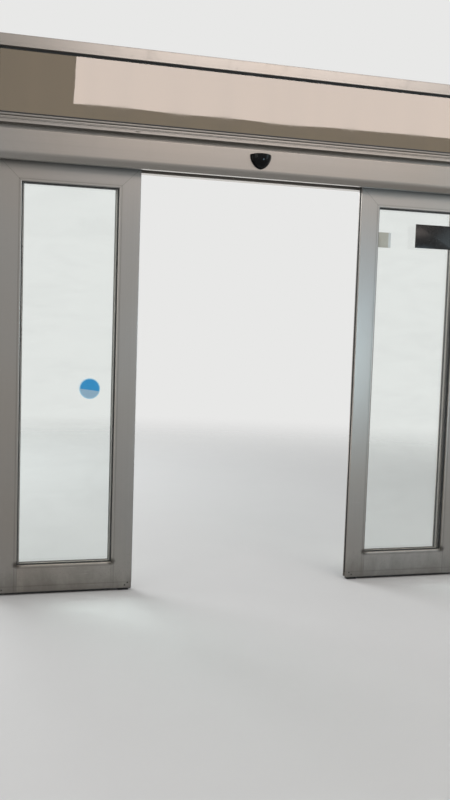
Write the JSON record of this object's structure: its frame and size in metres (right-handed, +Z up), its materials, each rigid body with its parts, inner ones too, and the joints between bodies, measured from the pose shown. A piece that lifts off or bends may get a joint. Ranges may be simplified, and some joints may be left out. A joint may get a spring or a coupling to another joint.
{
  "type": "automatic bi-parting sliding door",
  "caption": "Glazed sliding door set whose two leaves part along a header box, with side frames, a light above and a motion sensor.",
  "frame": {"origin": "middle of the left post's foot, on the floor", "axes": "+X along the door to the right seen from the room, +Y outdoors through the door, +Z up"},
  "size_m": [2.804, 0.2519, 2.86],
  "materials": {
    "aluminium": "satin anodised, warm grey",
    "glass": "clear float glass",
    "rubber": "matt black gasket",
    "black_plastic": "glossy black moulding",
    "zinc": "zinc plated"
  },
  "bodies": {
    "frame": {"left_post": "aluminium", "right_post": "aluminium", "transom_beam": "aluminium", "transom_trim": "aluminium", "head_rail": "aluminium", "header_beam": "aluminium", "header_cover": "aluminium", "left_end_cap": "aluminium", "right_end_cap": "aluminium", "transom_glass": "glass", "transom_gasket": "rubber", "motion_sensor": "black_plastic", "left_floor_guide": "black_plastic", "right_floor_guide": "black_plastic", "left_side_inner_stile": "aluminium", "left_side_outer_stile": "aluminium", "left_side_top_rail": "aluminium", "left_side_bottom_rail": "aluminium", "left_side_glass": "glass", "left_side_gasket": "rubber", "right_side_inner_stile": "aluminium", "right_side_outer_stile": "aluminium", "right_side_top_rail": "aluminium", "right_side_bottom_rail": "aluminium", "right_side_glass": "glass", "right_side_gasket": "rubber"},
    "left_leaf": {"left_leaf_leading_stile": "aluminium", "left_leaf_trailing_stile": "aluminium", "left_leaf_top_rail": "aluminium", "left_leaf_bottom_rail": "aluminium", "left_leaf_glass": "glass", "left_leaf_gasket": "rubber", "left_leaf_seal": "rubber", "left_leaf_lead_carriage": "zinc", "left_leaf_tail_carriage": "zinc"},
    "right_leaf": {"right_leaf_leading_stile": "aluminium", "right_leaf_trailing_stile": "aluminium", "right_leaf_top_rail": "aluminium", "right_leaf_bottom_rail": "aluminium", "right_leaf_glass": "glass", "right_leaf_gasket": "rubber", "right_leaf_seal": "rubber", "right_leaf_lead_carriage": "zinc", "right_leaf_tail_carriage": "zinc"}
  },
  "joints": [
    {"name": "left_leaf_slide", "type": "slide", "parent": "frame", "child": "left_leaf", "axis": [1, 0, 0], "range_m": [0, 0.618]},
    {"name": "right_leaf_slide", "type": "slide", "parent": "frame", "child": "right_leaf", "axis": [-1, 0, 0], "range_m": [0, 0.618]}
  ],
  "couplings": [
    {"joint": "right_leaf_slide", "follows": "left_leaf_slide", "ratio": 1}
  ]
}
